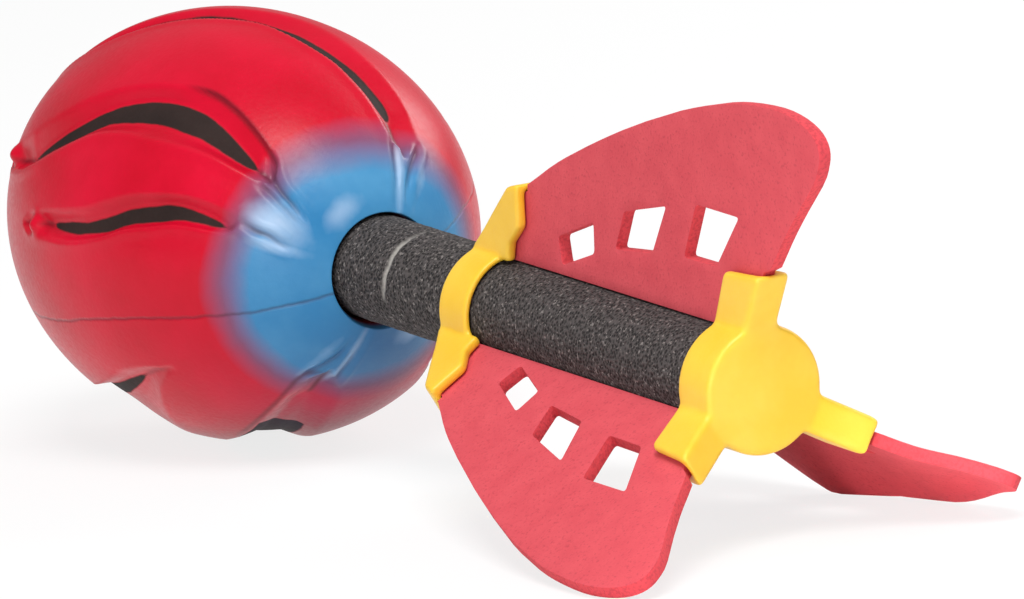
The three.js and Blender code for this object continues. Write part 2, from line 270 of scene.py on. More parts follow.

# %% [markdown]
# The creases are sharp narrow grooves between a flame's rear tip and the mouth. A row of a
# crease gives the distance ahead, the angle, and how deep it is there. The seam of the mould
# wavers a little, and a small round nub marks the front end of two flames. Between the creases
# the skin stands out in facets, where a painted highlight pales the blue. A highlight patch is
# given by its middle, half its length and width in millimetres and how pale it is.

# %% Creases, seam and nubs
CREASES = [
    [(186, 34.5, 0), (184, 36.5, 0.5), (181.4, 42, 0.9), (179, 45.5, 1.0), (175.8, 48.6, 0.8),
     (173, 53.5, 0)],
    [(184, 47.6, 0), (181, 48.7, 0.6), (177.8, 51.2, 0.6), (175, 54.2, 0.5), (172.5, 58.1, 0)],
    [(184, 64, 0.2), (180, 67, 1.0), (177.5, 67.6, 0.9), (174.9, 70.5, 0.5), (173.3, 70, 0)],
    [(180.5, -19, 0), (178, -19.5, 0.7), (173.9, -19.6, 0.6), (170, -19.2, 0.2)],
    [(181, -35, 0), (179, -34.4, 0.8), (177, -32.3, 0.8), (173.6, -29, 0.7), (171.3, -28, 0.2)],
]
CREASE_STEPS = 5
CREASE_WIDTH = 0.9
SHOULDER_SHARE = 0.35
SHOULDER_GAP = 1.98
SEAM = [(165, 108), (172, 105.8), (179, 105.7), (191, 104.3), (220, 105.5), (266, 115), (306, 122)]
NUBS = [(245.3, 83), (272, 66.8)]
FACET_HIGHLIGHTS = [(177.5, 60.5, 5, 4.5, 0.6), (176.5, 71.5, 4.5, 1.8, 0.46), (170.9, 31, 1.4, 6, 0.42),
          (174.5, -22, 6, 1.2, 0.4), (175.5, -37, 6, 1.6, 0.22)]
NUB_RADIUS = 2.5
NUB_HEIGHT = 1.6
NUB_SHARPNESS = 2.4


def through_stations(stations, steps):
    """A smooth curve through the stations, by Catmull and Rom's rule: between two stations each
    value is a cubic whose slopes come from the stations on either side."""
    points = np.array(stations, float)
    padded = np.vstack([2 * points[0] - points[1], points, 2 * points[-1] - points[-2]])
    t = np.linspace(0, 1, steps, endpoint=False)[:, None]
    a, b, c, d = (padded[i:i + len(points) - 1, None] for i in range(4))
    spans = 0.5 * (2 * b + (c - a) * t + (2 * a - 5 * b + 4 * c - d) * t ** 2
                   + (3 * b - a - 3 * c + d) * t ** 3)
    return np.vstack([spans.reshape(-1, points.shape[1]), points[-1:]])


def soft_ramp(share):
    """0 to 1 in a straight slope whose foot and shoulder are rounded over a quarter of it."""
    t = np.clip(share, 0, 1)
    bend = 0.25
    mirrored = np.minimum(t, 1 - t)
    foot = np.where(mirrored < bend, mirrored ** 2 / (2 * bend * (1 - bend)),
                    (mirrored - bend / 2) / (1 - bend))
    return np.where(t < 0.5, foot, 1 - foot)


def swing_from(angle, middle):
    """The turn from middle to angle in degrees, between -180 and 180."""
    return (angle - middle + 180) % 360 - 180


# %% How flames and creases shape the skin


def flame_field(x_rows, angle, radius_rows):
    """For a grid of skin points: how deep the flames sink each, how far their lower lips lift
    it, how far inside a black floor it lies, all in millimetres, and how strong the painted
    shade along a sharp line or an upper rim is there. Across a flame the depth climbs from the
    upper rim to the floor and falls to the lower rim, and it fades where the flame is narrow."""
    degree = np.radians(radius_rows)
    sink = np.zeros(np.broadcast(x_rows, angle).shape)
    lift = np.zeros_like(sink)
    inside = np.full_like(sink, UNPAINTED)
    valley_shade = np.zeros_like(sink)
    for flame in FLAMES:
        curve = through_stations(flame["stations"], FLAME_STEPS)
        up, floor_up, floor_low, low = (np.interp(x_rows, curve[:, 0], curve[:, k])
                                        for k in (1, 2, 3, 4))
        middle = (floor_up + floor_low) / 2
        bend = np.gradient(middle[:, 0], x_rows[:, 0])[:, None]
        slant = 1 / np.hypot(1, bend * degree)
        strength = 1 - np.exp(-(low - up) * degree / FLAME_FADE)
        upper_wall = np.maximum((floor_up - up) * degree, LEAST_WALL)
        thin = np.clip(1 - (floor_low - floor_up) * degree / LINE_WIDTH, 0, 1)
        drop_end = flame.get("drop_end", 0)
        drop = DROP_SHARE * smooth_step(drop_end, drop_end - DROP_LENGTH, x_rows)
        for copy in range(FLAME_COPIES):
            cover, low_cover, front_cover, start, low_shift, rim_shade = (
                flame.get(name, (0, 0))[copy] for name in PAIRS)
            cover = cover + front_cover * smooth_step(*FRONT_SPAN, x_rows)
            lower_rim = low + low_shift * strength ** 2
            lower_wall = np.maximum((lower_rim - floor_low) * degree, LEAST_WALL)
            swing = swing_from(angle, middle + 180 * copy)
            past_upper = (swing - floor_up + middle) * degree
            past_lower = (floor_low - middle - swing) * degree
            climb = 1 + past_upper / upper_wall
            climbed = soft_ramp(climb) * (1 - drop) + drop * soft_ramp(climb * DROP_STEEPNESS)
            walls = np.minimum(climbed, soft_ramp(1 + past_lower / lower_wall))
            sink = np.maximum(sink, FLAME_DEPTH * strength * walls)
            if low_shift == 0:
                lip = bell((past_lower + lower_wall) * slant, LIP_WIDTH)
                lift = np.maximum(lift, LIP_LIFT * strength * lip)
            paint = np.minimum(past_upper + cover * upper_wall,
                               past_lower + low_cover * lower_wall) * slant
            paint = np.minimum(paint - LINE_THINNING * thin, x_rows - start)
            inside = np.maximum(inside, paint)
            # Painted shade: a dark line where a floor is narrow, and one along the upper rim's
            # edge.
            line = thin * bell(swing * degree * slant, VALLEY_SHADE_WIDTH)
            rim = (rim_shade * smooth_step(*RIM_SHADE_SPAN, x_rows)
                   * bell((past_upper + upper_wall) * slant, VALLEY_SHADE_WIDTH))
            valley_shade = np.maximum(valley_shade, strength * np.maximum(line, rim))
    return sink, lift, inside, valley_shade


def along_line(x, y, stations):
    """For points of a plane, the distance to an open line of straight pieces, and the place of
    the nearest point on it, counted in stations. Each point's foot on every piece is held
    between the piece's ends, and the nearest one is kept."""
    nearest, place = np.inf, 0
    for number, ((ax, ay), (bx, by)) in enumerate(zip(stations[:-1], stations[1:])):
        length = (bx - ax) ** 2 + (by - ay) ** 2
        share = np.clip(((x - ax) * (bx - ax) + (y - ay) * (by - ay)) / length, 0, 1)
        away = np.hypot(x - ax - share * (bx - ax), y - ay - share * (by - ay))
        place = np.where(away < nearest, number + share, place)
        nearest = np.minimum(nearest, away)
    return nearest, place


def crease_field(x_rows, angle, radius_rows):
    """How deep the creases sink each point: a narrow groove as deep as the crease is at the
    nearest place, beside which the skin stands up in a low shoulder."""
    degree = np.radians(radius_rows)
    sink = 0
    for line in CREASES:
        curve = through_stations(line, CREASE_STEPS)
        first = curve[0, 1]
        stations = [(ahead, (turned - first) * degree) for ahead, turned, _ in curve]
        for copy in range(FLAME_COPIES):
            turned = swing_from(angle, first + 180 * copy) * degree
            away, place = along_line(x_rows, turned, stations)
            depth = np.interp(place, np.arange(len(curve)), curve[:, 2])
            shoulder = SHOULDER_SHARE * bell(away - SHOULDER_GAP, CREASE_WIDTH)
            groove = depth * (bell(away, CREASE_WIDTH) - shoulder)
            sink = np.where(np.abs(groove) > np.abs(sink), groove, sink)
    return sink


# %% [markdown]
# The skin's grid runs from the nose to the mouth, over the mouth's rounded lip and down the
# socket to the insert, so that the ball is one closed surface. Numbers stored on its points
# tell the material where the paints and the seam lie.

# %% The ball's surface
SKIN_ROWS = 280
LIP_ROWS = 9
SKIN_COLUMNS = 520
LIP = np.array([[MOUTH_X - 0.1, MOUTH_RADIUS - 0.25], [MOUTH_X + 1, HOLE_RADIUS + 0.4],
                [MOUTH_X + 5, HOLE_RADIUS]])
SPRAY_EDGE = 179.7
SPRAY_LEAN = 6.1
SPRAY_LEAN_DEGREES = 102
SPRAY_LEAN_SPREAD = 66
# Painted shade on the lower side: the angle of its middle, its spread, and the span over which it
# grows towards the mouth.
UNDERSIDE_SHADE_DEGREES = 187
UNDERSIDE_SHADE_SPREAD = 45
UNDERSIDE_SHADE_SPAN = (222, 190)
SEAM_REACH = 20.0
SEAM_TURNOVER = 40.0


def ball_profile():
    """The meridian from the nose to the mouth as distance ahead and radius in millimetres:
    an ellipse stepped by angle, then the lip and the socket with its insert."""
    mouth_angle = math.pi - math.asin(MOUTH_RADIUS / BALL_RADIUS)
    steps = np.linspace(0, mouth_angle, SKIN_ROWS + 1)[1:]
    skin = np.stack([BALL_CENTRE + HALF_LENGTH * np.cos(steps), BALL_RADIUS * np.sin(steps)], 1)
    t = np.linspace(0, 1, LIP_ROWS)
    lip = np.stack([(1 - t) ** 2, 2 * t * (1 - t), t ** 2], axis=1) @ LIP
    seat = SLEEVE_FRONT + SEAT_GAP
    socket = np.array([
        [SLEEVE_FRONT, HOLE_RADIUS], [seat, HOLE_RADIUS - EDGE_BREAK],
        [seat, BORE_RADIUS + EDGE_BREAK], [seat + EDGE_BREAK, BORE_RADIUS],
        [FLANGE_REAR - EDGE_BREAK, BORE_RADIUS], [FLANGE_REAR, BORE_RADIUS + EDGE_BREAK],
        [FLANGE_REAR, FLANGE_HOLE - EDGE_BREAK], [FLANGE_REAR + EDGE_BREAK, FLANGE_HOLE],
        [FLANGE_FRONT - EDGE_BREAK, FLANGE_HOLE], [FLANGE_FRONT, FLANGE_HOLE - EDGE_BREAK],
        [FLANGE_FRONT, CUP_HOLE + SEAT_GAP], [FLANGE_FRONT + EDGE_BREAK, CUP_HOLE],
        [SOCKET_END - EDGE_BREAK, CUP_HOLE], [SOCKET_END, CUP_HOLE - EDGE_BREAK]])
    return skin, lip, socket


def around(x_mm, radius, turn, lean=0):
    """Points at a distance ahead, a radius and an angle, moved by lean towards the low side."""
    return np.stack(np.broadcast_arrays(
        x_mm, radius * np.sin(turn) + lean * math.sin(MOUTH_LEAN_TURN),
        radius * np.cos(turn) + lean * math.cos(MOUTH_LEAN_TURN)), axis=-1)


def ball_points():
    """Every skin point is the ellipsoid's, moved along its normal: inwards by the flames and
    creases, outwards by the lips and nubs. Returns the grid, and for the material each number
    of the skin with its value inside the mouth."""
    skin, lip, socket = ball_profile()
    turn = np.arange(SKIN_COLUMNS)[None, :] * 2 * math.pi / SKIN_COLUMNS
    angle = np.degrees(turn)
    x_rows, radius_rows = skin[:, :1], skin[:, 1:]
    degree = np.radians(radius_rows)
    sink, lift, inside, valley_shade = flame_field(x_rows, angle, radius_rows)
    crease = crease_field(x_rows, angle, radius_rows)
    facet_highlight = np.zeros_like(sink)
    for copy in range(FLAME_COPIES):
        for ahead, nub_angle in NUBS:
            off = swing_from(angle, nub_angle + 180 * copy) * degree
            away = np.hypot(x_rows - ahead, off) / NUB_RADIUS
            bump = np.exp(-away ** NUB_SHARPNESS)
            lift = lift * (1 - bump) + NUB_HEIGHT * bump
            sink = sink * (1 - bump)
            valley_shade = valley_shade * (1 - bump)
        # Painted highlights on the facets between the creases.
        for ahead, turned, long, wide, share in FACET_HIGHLIGHTS:
            off = swing_from(angle, turned + 180 * copy) * degree
            facet_highlight = np.maximum(facet_highlight, share * bell(x_rows - ahead, long) * bell(off, wide))
    seam_curve = through_stations(SEAM, FLAME_STEPS)
    past_seam = np.radians(angle - np.interp(x_rows, seam_curve[:, 0], seam_curve[:, 1]))
    seam_side = np.clip(np.sin(past_seam) * radius_rows, -SEAM_REACH, SEAM_REACH)
    far_side = smooth_step(SEAM_TURNOVER, -SEAM_TURNOVER, np.cos(past_seam) * radius_rows)
    leaning = bell(swing_from(angle, SPRAY_LEAN_DEGREES), SPRAY_LEAN_SPREAD)
    spray = x_rows - SPRAY_EDGE - SPRAY_LEAN * leaning
    # Painted shade: the lower side darkens towards the mouth.
    underside_shade = bell(swing_from(angle, UNDERSIDE_SHADE_DEGREES), UNDERSIDE_SHADE_SPREAD) * smooth_step(*UNDERSIDE_SHADE_SPAN, x_rows)

    tilt_x = (x_rows - BALL_CENTRE) / HALF_LENGTH ** 2
    tilt_r = radius_rows / BALL_RADIUS ** 2
    move = (lift - sink - crease) / np.hypot(tilt_x, tilt_r)
    lean = MOUTH_LEAN * smooth_step(*MOUTH_LEAN_SPAN, x_rows)
    lip_lean = MOUTH_LEAN * np.linspace(1, 0, len(lip))[:, None]
    grid = np.concatenate([
        around(x_rows + move * tilt_x, radius_rows + move * tilt_r, turn, lean),
        around(lip[:, :1], lip[:, 1:], turn, lip_lean),
        around(socket[:, :1], socket[:, 1:], turn)])
    return grid, {
        "flame_inside": (inside, UNPAINTED), "spray_ahead": (spray, -10.0),
        "underside_shade": (underside_shade, 0.0), "valley_shade": (valley_shade, 0.0), "facet_highlight": (facet_highlight, 0.0),
        "seam_side": (seam_side, SEAM_REACH), "crease_depth": (crease, 0.0),
        "far_side": (far_side, 0.0), "bare": (np.zeros_like(sink), 1.0)}


ball_grid, skin_marks = ball_points()
ball = new_piece("ball", "ball_foam", "ball_head",
                 *capped(ball_grid, (BALL_CENTRE + HALF_LENGTH, 0, 0), (SOCKET_END, 0, 0)))
for mark_name, (mark, rest) in skin_marks.items():
    inner = np.full((len(ball_grid) - len(mark), SKIN_COLUMNS), rest)
    inner[:LIP_ROWS] = mark[-1] + np.linspace(0, 1, LIP_ROWS)[:, None] * (rest - mark[-1])
    point_attribute(ball, mark_name, np.concatenate([
        mark.ravel(), inner.ravel(), [mark[0].mean(), rest]]))
    print(mark_name, "runs from", round(float(mark.min()), 2), "to", round(float(mark.max()), 2))

# %% [markdown]
# ## The foam sleeve
#
# The handle is a tube of open-celled dark foam. Its skin is rough, and near the ball it has a
# shallow crease from being bent. A cylinder with a bump map would lose both at the edges, so
# the radius is worked out on a fine grid instead: small random cells, and a narrow valley.

# %% The sleeve's surface
SLEEVE_ROWS = 330
SLEEVE_COLUMNS = 200
SLEEVE_REAR = 2.3
SLEEVE_END_RADII = (SLEEVE_RADIUS - 0.5, BORE_RADIUS + EDGE_BREAK, BORE_RADIUS)
CELLS = (260, 110)
CLUMPS = (90, 44)
CLUMP_SHARE = 0.6
CELL_DEPTH = 0.16
BEND_X = 147.9
BEND_TURN = math.radians(50)
BEND_SPREAD = 66.0
BEND_DEPTH = 0.5
BEND_WIDTH = 0.8
BEND_WAVERS = (60, 30)
WAVER_SHIFT = 1.2


def value_noise(rng, u, v, cells_u, cells_v):
    """Smooth random values: a table of random numbers, closed on itself in v, that is read
    between its cells with an S-shaped blend."""
    table = rng.random((cells_u + 2, cells_v))
    i, j = (np.floor(place).astype(int) for place in (u * cells_u, v * cells_v))
    share_i, share_j = smooth_step(0, 1, u * cells_u - i), smooth_step(0, 1, v * cells_v - j)
    first, second = ((1 - share_j) * table[row, j % cells_v]
                     + share_j * table[row, (j + 1) % cells_v] for row in (i, i + 1))
    return (1 - share_i) * first + share_i * second


def sleeve_points():
    """Radius = the tube's, less a crease that is a narrow valley on the upper side, less random
    cells a few tenths of a millimetre deep."""
    rng = np.random.default_rng(11)
    rows = np.linspace(0, 1, SLEEVE_ROWS)
    columns = np.arange(SLEEVE_COLUMNS) / SLEEVE_COLUMNS
    u, v = np.meshgrid(rows, columns, indexing="ij")
    x_mm = SLEEVE_FRONT + u * (SLEEVE_REAR - SLEEVE_FRONT)
    turn = 2 * math.pi * v
    cells = value_noise(rng, u, v, *CELLS) + CLUMP_SHARE * value_noise(rng, u, v, *CLUMPS)
    waver = value_noise(rng, u, v, *BEND_WAVERS) - 0.5
    swing = np.degrees(np.angle(np.exp(1j * (turn - BEND_TURN))))
    reach = smooth_step(BEND_SPREAD, BEND_SPREAD / 3, np.abs(swing)) * (1 + waver)
    crease = np.clip(reach, 0, 1) * bell(x_mm - BEND_X - WAVER_SHIFT * waver, BEND_WIDTH)
    radius = SLEEVE_RADIUS - CELL_DEPTH * (1 + CLUMP_SHARE - cells) - BEND_DEPTH * crease
    ends = [around(x_end, r_end, turn[0])
            for x_end, radii in ((SLEEVE_REAR, SLEEVE_END_RADII),
                                 (SLEEVE_FRONT, SLEEVE_END_RADII[::-1]))
            for r_end in radii]
    return (np.concatenate([around(x_mm, radius, turn), ends]),
            np.pad(crease, ((0, len(ends)), (0, 0))))


sleeve_grid, sleeve_crease = sleeve_points()
sleeve = new_piece("sleeve", "sleeve_foam", "foam_sleeve", sleeve_grid.reshape(-1, 3),
                   ring_faces(len(sleeve_grid), SLEEVE_COLUMNS, closed=True))
point_attribute(sleeve, "crease", sleeve_crease)

# %% [markdown]
# ## The collar and the end cap
#
# Both are single mouldings: a band or a cup with three swept ears, each a channel for a fin's
# corner. Their outer edges are rounded, their inner corners are filled, and the ears flow out
# of the disc without a line. A bevel on the node would leave the inner corners sharp, and it
# fails where many edges meet. So the shape is said as a field: a number for every place in a
# block of space, the distance to the nearest face, negative inside the plastic. Two shapes are
# joined by taking the smaller number, and one is cut out of another by taking the larger, with
# the first one's sign turned. A blur of the field then rounds every edge and fills every corner
# at once, and leaves flat faces in place, as the mean of an even slope is the slope itself.

# %% Fields of distance
NET_STEP = 0.4
BELL_REACH = 3


def outline_distance(x, y, corners):
    """Distance to a closed outline, negative inside. A point is inside when a line from it
    towards larger x crosses the outline an odd number of times."""
    closed = corners + corners[:1]
    inside = False
    for (ax, ay), (bx, by) in zip(closed[:-1], closed[1:]):
        if ay != by:
            inside = inside ^ (((ay > y) != (by > y))
                               & (x < ax + (y - ay) * (bx - ax) / (by - ay)))
    return np.where(inside, -1, 1) * along_line(x, y, closed)[0]


def common(*fields):
    """The field of what lies in all of the shapes."""
    return reduce(np.maximum, fields)


def either(*fields):
    """The field of what lies in any of the shapes."""
    return reduce(np.minimum, fields)


def blurred(field, width_mm):
    """A field averaged with its surroundings by a bell curve, along each direction in turn."""
    reach = math.ceil(BELL_REACH * width_mm / NET_STEP)
    taps = np.arange(-reach, reach + 1)
    weights = np.exp(-0.5 * (taps * NET_STEP / width_mm) ** 2)
    weights = weights / weights.sum()
    for axis in range(3):
        field = sum(weight * np.roll(field, tap, axis) for tap, weight in zip(taps, weights))
    return field


# %% [markdown]
# The surface is where the blurred field is zero. Every edge of the space's grid whose ends have
# different signs crosses it once, and gives one quad that joins the four cells round that edge.
# A cell's point is the mean of the crossings on its edges. So the whole net comes from lists.

# %% A net over a field


def net_over(field, low):
    """Points in millimetres and outward quads of the surface where the field is zero."""
    cell_numbers, crossings, quads = [], [], []
    for axis in range(3):
        first = np.delete(field, -1, axis)
        second = np.delete(field, 0, axis)
        start = np.argwhere((first < 0) != (second < 0))
        near, far = first[tuple(start.T)], second[tuple(start.T)]
        crossing = start.astype(float)
        crossing[:, axis] += near / (near - far)
        cells = np.repeat(start[:, None, :], 4, axis=1)
        cells[:, [1, 2], (axis + 1) % 3] -= 1
        cells[:, [2, 3], (axis + 2) % 3] -= 1
        numbers = np.ravel_multi_index(tuple(np.moveaxis(cells, -1, 0)), field.shape)
        quads.append(np.where((near < 0)[:, None], numbers, numbers[:, ::-1]))
        cell_numbers.append(numbers.ravel())
        crossings.append(np.repeat(crossing, 4, axis=0))
    known, which = np.unique(np.concatenate(cell_numbers), return_inverse=True)
    crossings = np.concatenate(crossings)
    shared = np.bincount(which)
    points = np.stack([np.bincount(which, crossings[:, axis]) / shared for axis in range(3)],
                      axis=-1)
    return low + points * NET_STEP, np.searchsorted(known, np.concatenate(quads))


def moulding(name, node, shape, rear, front, reach, width_mm):
    """A piece of plastic from a shape's field. Shape takes the distance ahead, the distance
    from the axis, and the height and side of a place by the nearest ear's plane: the three
    ears are one ear, with the angle folded into its third of the turn."""
    margin = BELL_REACH * width_mm + 2 * NET_STEP
    ahead = np.arange(rear - margin, front + margin, NET_STEP)
    across = np.arange(-reach - margin, reach + margin, NET_STEP)
    left, up = np.meshgrid(across, across, indexing="ij")
    radius = np.hypot(left, up)
    third = 2 * math.pi / 3
    turn = (np.arctan2(left, up) + third / 2) % third - third / 2
    field = shape(ahead[:, None, None], radius, radius * np.cos(turn), radius * np.sin(turn))
    points, quads = net_over(blurred(field, width_mm), np.array([ahead[0], across[0], across[0]]))
    return new_piece(name, "yellow_plastic", node, points, quads)


# %% [markdown]
# The ears are plates with a slot for the fin. An ear's outline is given by corners: how far
# ahead, and how high. Its slot leaves a web of even thickness along one side.

# %% The two mouldings
EAR_HALF = 4.45
SLOT_HALF = 1.8
CAP_RADIUS = 14.8
CAP_FRONT = 13.7
CAP_FLOOR = 2.0
CAP_WEB = 1.8
CAP_BLOCK = (-6.8, CAP_FRONT, 28)
CAP_ROUNDING = 0.75
CAP_EAR_REAR = [(0, CAP_RADIUS), (-6.8, 27.5)]
CAP_EAR = [(0, 13.5), (CAP_FRONT, 13.5), (CAP_FRONT, CAP_RADIUS), (8.7, 26.5), (-6.8, 27.5),
           (0, CAP_RADIUS)]
SPIGOT_RADIUS = 4.4
SPIGOT_FRONT = 12.0
COLLAR_RADIUS = 14.5
COLLAR_REAR = 107.2
COLLAR_FRONT = 119.5
COLLAR_WEB = 1.6
COLLAR_BLOCK = (98, COLLAR_FRONT, 32)
COLLAR_ROUNDING = 0.55
COLLAR_EAR_ROOT = [(103.6, HOLE_RADIUS), (COLLAR_REAR, HOLE_RADIUS), (COLLAR_REAR, 13.6),
                   (COLLAR_FRONT, 13.6)]
COLLAR_EAR_FRONT = [(COLLAR_FRONT, COLLAR_RADIUS), (114.3, 19.3), (109.8, 23.8), (105.3, 28.2),
                    (102.8, 30.6), (98, 31.8)]
COLLAR_EAR_REAR = [(98.1, 21.6), (100.2, 19.5), (102.9, 17.2), (103.6, COLLAR_RADIUS)]


def cap_shape(ahead, radius, height, side):
    """A cup with a central spigot and three ears that lean back past its face."""
    cup = common(radius - CAP_RADIUS, -ahead, ahead - CAP_FRONT)
    spigot = common(radius - SPIGOT_RADIUS, ahead - SPIGOT_FRONT)
    hollow = common(radius - HOLE_RADIUS, CAP_FLOOR - ahead, -spigot)
    ear = common(outline_distance(ahead, height, CAP_EAR), np.abs(side) - EAR_HALF)
    slot = common(CAP_WEB - along_line(ahead, height, CAP_EAR_REAR)[0],
                  np.abs(side) - SLOT_HALF, CAP_RADIUS - height)
    return common(either(cup, ear), -hollow, -slot)


def collar_shape(ahead, radius, height, side):
    """A band with three ears swept back from its front rim."""
    band = common(radius - COLLAR_RADIUS, COLLAR_REAR - ahead, ahead - COLLAR_FRONT)
    outline = COLLAR_EAR_ROOT + COLLAR_EAR_FRONT + COLLAR_EAR_REAR
    ear = common(outline_distance(ahead, height, outline), np.abs(side) - EAR_HALF)
    floor = either(COLLAR_RADIUS - height, common(SLEEVE_RADIUS - height, ahead - COLLAR_REAR))
    slot = common(COLLAR_WEB - along_line(ahead, height, COLLAR_EAR_FRONT)[0],
                  np.abs(side) - SLOT_HALF, floor)
    return common(either(band, ear), HOLE_RADIUS - radius, -slot)


end_cap = moulding("end_cap", "rear_cap", cap_shape, *CAP_BLOCK, CAP_ROUNDING)
collar = moulding("collar", "front_collar", collar_shape, *COLLAR_BLOCK, COLLAR_ROUNDING)

# %% [markdown]
# ## The fins
#
# The fins are stamped from foam sheet: flat skins, square cut edges softened by a hair, and
# three windows. Each is made from its node: the sharp edges are rounded, and the flat skins are
# cut into a grid so that the sheet can bend. A sheet this soft never lies quite flat, so every
# fin gets a slight wave, and the right-hand one droops between its two holders as in the
# photograph, until its edge lies on the ground. The bend is a formula of the place on the
# sheet, and it is zero where the holders grip.

# %% Bent foam sheets
FIN_START = -36
FIN_FRONT = 110
FIN_REACH = 65.6
FIN_HALF = 1.5
FIN_GRID = 4.0
FLAT_DEGREES = 1.5
SHARP_DEGREES = 40
EDGE_ROUNDING = 0.35
CUT_FACING = 0.8
GRIP_HEIGHT = 14
EAR_GRIPS = [(12, 32, 6), (18, 80, 99)]
FIN_WAVE = 0.25
WAVE_LENGTHS = (15, 13)
WAVE_START = 0.12
DROOP = 11.5
DROOP_MIDDLE = 30.0
DROOP_BEHIND = 35.0
DROOP_AHEAD = 42.0
DROOP_RISE = 1.6
FREE_EDGE = np.array([[-31, 65.6], [-1, 65], [24, 60.4], [49, 52.4], [76, 42.2], [97, 31.6]])
CURL = 3.6
CURL_HEIGHTS = (22, 60)
CURL_SPAN = (2, -22)
TIP_FORWARD = 7.5
TIP_INWARD = 4.4
TIP_HEIGHTS = (26, 66)
TIP_SPAN = (30, -20)
BLEND = 0.3
GROUND_CLEARANCE = 0.1
AHEAD = np.array([1.0, 0, 0])


def fin_axes(number):
    """The directions up the fin and square to it, for fin number 1, 2 or 3, in toy axes."""
    turn = 2 * math.pi * (number - 1) / 3
    return (np.array([0, -math.sin(turn), math.cos(turn)]),
            np.array([0, math.cos(turn), math.sin(turn)]))


def grip_height(ahead):
    """How high the holders grip the sheet: higher at the cap's and the collar's ear."""
    return GRIP_HEIGHT + sum(rise * smooth_step(start, end, ahead)
                             for rise, start, end in EAR_GRIPS)


def drooping(ahead, height, upward, downward):
    """How far each point of the slack sheet hangs down, in millimetres. The free edge hangs in
    a bell, steeper behind its middle, or to the ground where that is less, blended softly. From
    the grip outwards the sheet follows its edge with a rising slope, and the rear corner curls
    up a little."""
    edge = np.interp(ahead, *FREE_EDGE.T)
    width = np.where(ahead < DROOP_MIDDLE, DROOP_BEHIND, DROOP_AHEAD)
    wish = DROOP * bell(ahead - DROOP_MIDDLE, width)
    drawn_edge = edge - TIP_INWARD * smooth_step(*TIP_SPAN, ahead)
    underside = ahead[:, None] * AHEAD + drawn_edge[:, None] * upward + FIN_HALF * downward
    fall = -(PLACE_TURN @ downward)[2]
    room = placed(underside)[:, 2] / MM / fall - GROUND_CLEARANCE
    amount = np.clip(-BLEND * np.logaddexp(-wish / BLEND, -room / BLEND), 0, wish)
    grip = grip_height(ahead)
    share = np.clip((height - grip) / (edge - grip), 0, 1)
    curl = CURL * smooth_step(*CURL_HEIGHTS, height) * smooth_step(*CURL_SPAN, ahead)
    return amount * share ** DROOP_RISE - curl


def foam_sheet(number):
    """Fin number 1, 2 or 3 as a new sheet with rounded edges, a slight wave and any droop."""
    mesh = frame["nodes"][f"fin_{number}"].data.copy()
    mesh.name = f"fin_sheet_{number}"
    upward, across = fin_axes(number)
    work = bmesh.new()
    work.from_mesh(mesh)
    bmesh.ops.remove_doubles(work, verts=work.verts, dist=1e-6)
    bmesh.ops.dissolve_limit(work, angle_limit=math.radians(FLAT_DEGREES), verts=work.verts,
                             edges=work.edges)
    sharp = [edge for edge in work.edges
             if edge.calc_face_angle(0) > math.radians(SHARP_DEGREES)]
    bmesh.ops.bevel(work, geom=sharp, offset=EDGE_ROUNDING * MM, segments=2, profile=0.5,
                    affect="EDGES", clamp_overlap=True)
    for direction, last in ((AHEAD, FIN_FRONT), (upward, FIN_REACH)):
        for step in np.arange(FIN_START, last, FIN_GRID):
            bmesh.ops.bisect_plane(
                work, geom=[*work.verts, *work.edges, *work.faces], dist=1e-7,
                plane_co=Vector(placed(direction * step)),
                plane_no=PLACE.to_3x3() @ Vector(direction))
    bmesh.ops.triangulate(work, faces=[face for face in work.faces if len(face.verts) > 4])
    work.to_mesh(mesh)
    work.free()
    mesh.materials.clear()

    points = toy_axes(np.array([corner.co for corner in mesh.vertices]))
    normals = np.array([face.normal for face in mesh.polygons])
    facing = np.abs(normals @ (PLACE_TURN @ across))
    layer = mesh.attributes.new("cut_edge", "FLOAT", "FACE")
    layer.data.foreach_set("value", (facing < CUT_FACING).astype(np.float32))

    ahead, height = points[:, 0], points @ upward
    free = np.clip((height - grip_height(ahead)) / (FIN_REACH - GRIP_HEIGHT), 0, 1)
    long, high = WAVE_LENGTHS
    bend = (FIN_WAVE * np.sin(ahead / long + 2 * number) * np.sin(height / high + number)
            * smooth_step(0, WAVE_START, free))
    if number == 2:
        across = -across
        bend = np.minimum(bend, 0) + drooping(ahead, height, upward, across)
        drawn = (smooth_step(*TIP_HEIGHTS, height) * smooth_step(*TIP_SPAN, ahead))[:, None]
        points = points + drawn * (TIP_FORWARD * AHEAD - TIP_INWARD * upward)
    points = points + bend[:, None] * across
    mesh.vertices.foreach_set("co", placed(points).astype(np.float32).ravel())
    mesh.update()
    piece = shown_piece(mesh, f"fin_{number}")
    print("and is bent by up to", round(float(np.abs(bend).max()), 1), "mm")
    return piece


fins = [foam_sheet(number) for number in (1, 2, 3)]

# %% [markdown]
# ## Materials
#
# Each finish is a small network of nodes: a base colour broken up by noise at the scale the
# real material has, a roughness that varies with it, and a bump for the grain. Colours are
# said in steps of 0 to 255.

# %% Helpers for materials


def linear(red, green, blue):
    """A colour of 0 to 255 steps as the linear values that a shader takes."""
    steps = np.array([red, green, blue]) / 255
    curve = ((steps + 0.055) / 1.055) ** 2.4
    return (*np.where(steps <= 0.04045, steps / 12.92, curve).tolist(), 1.0)


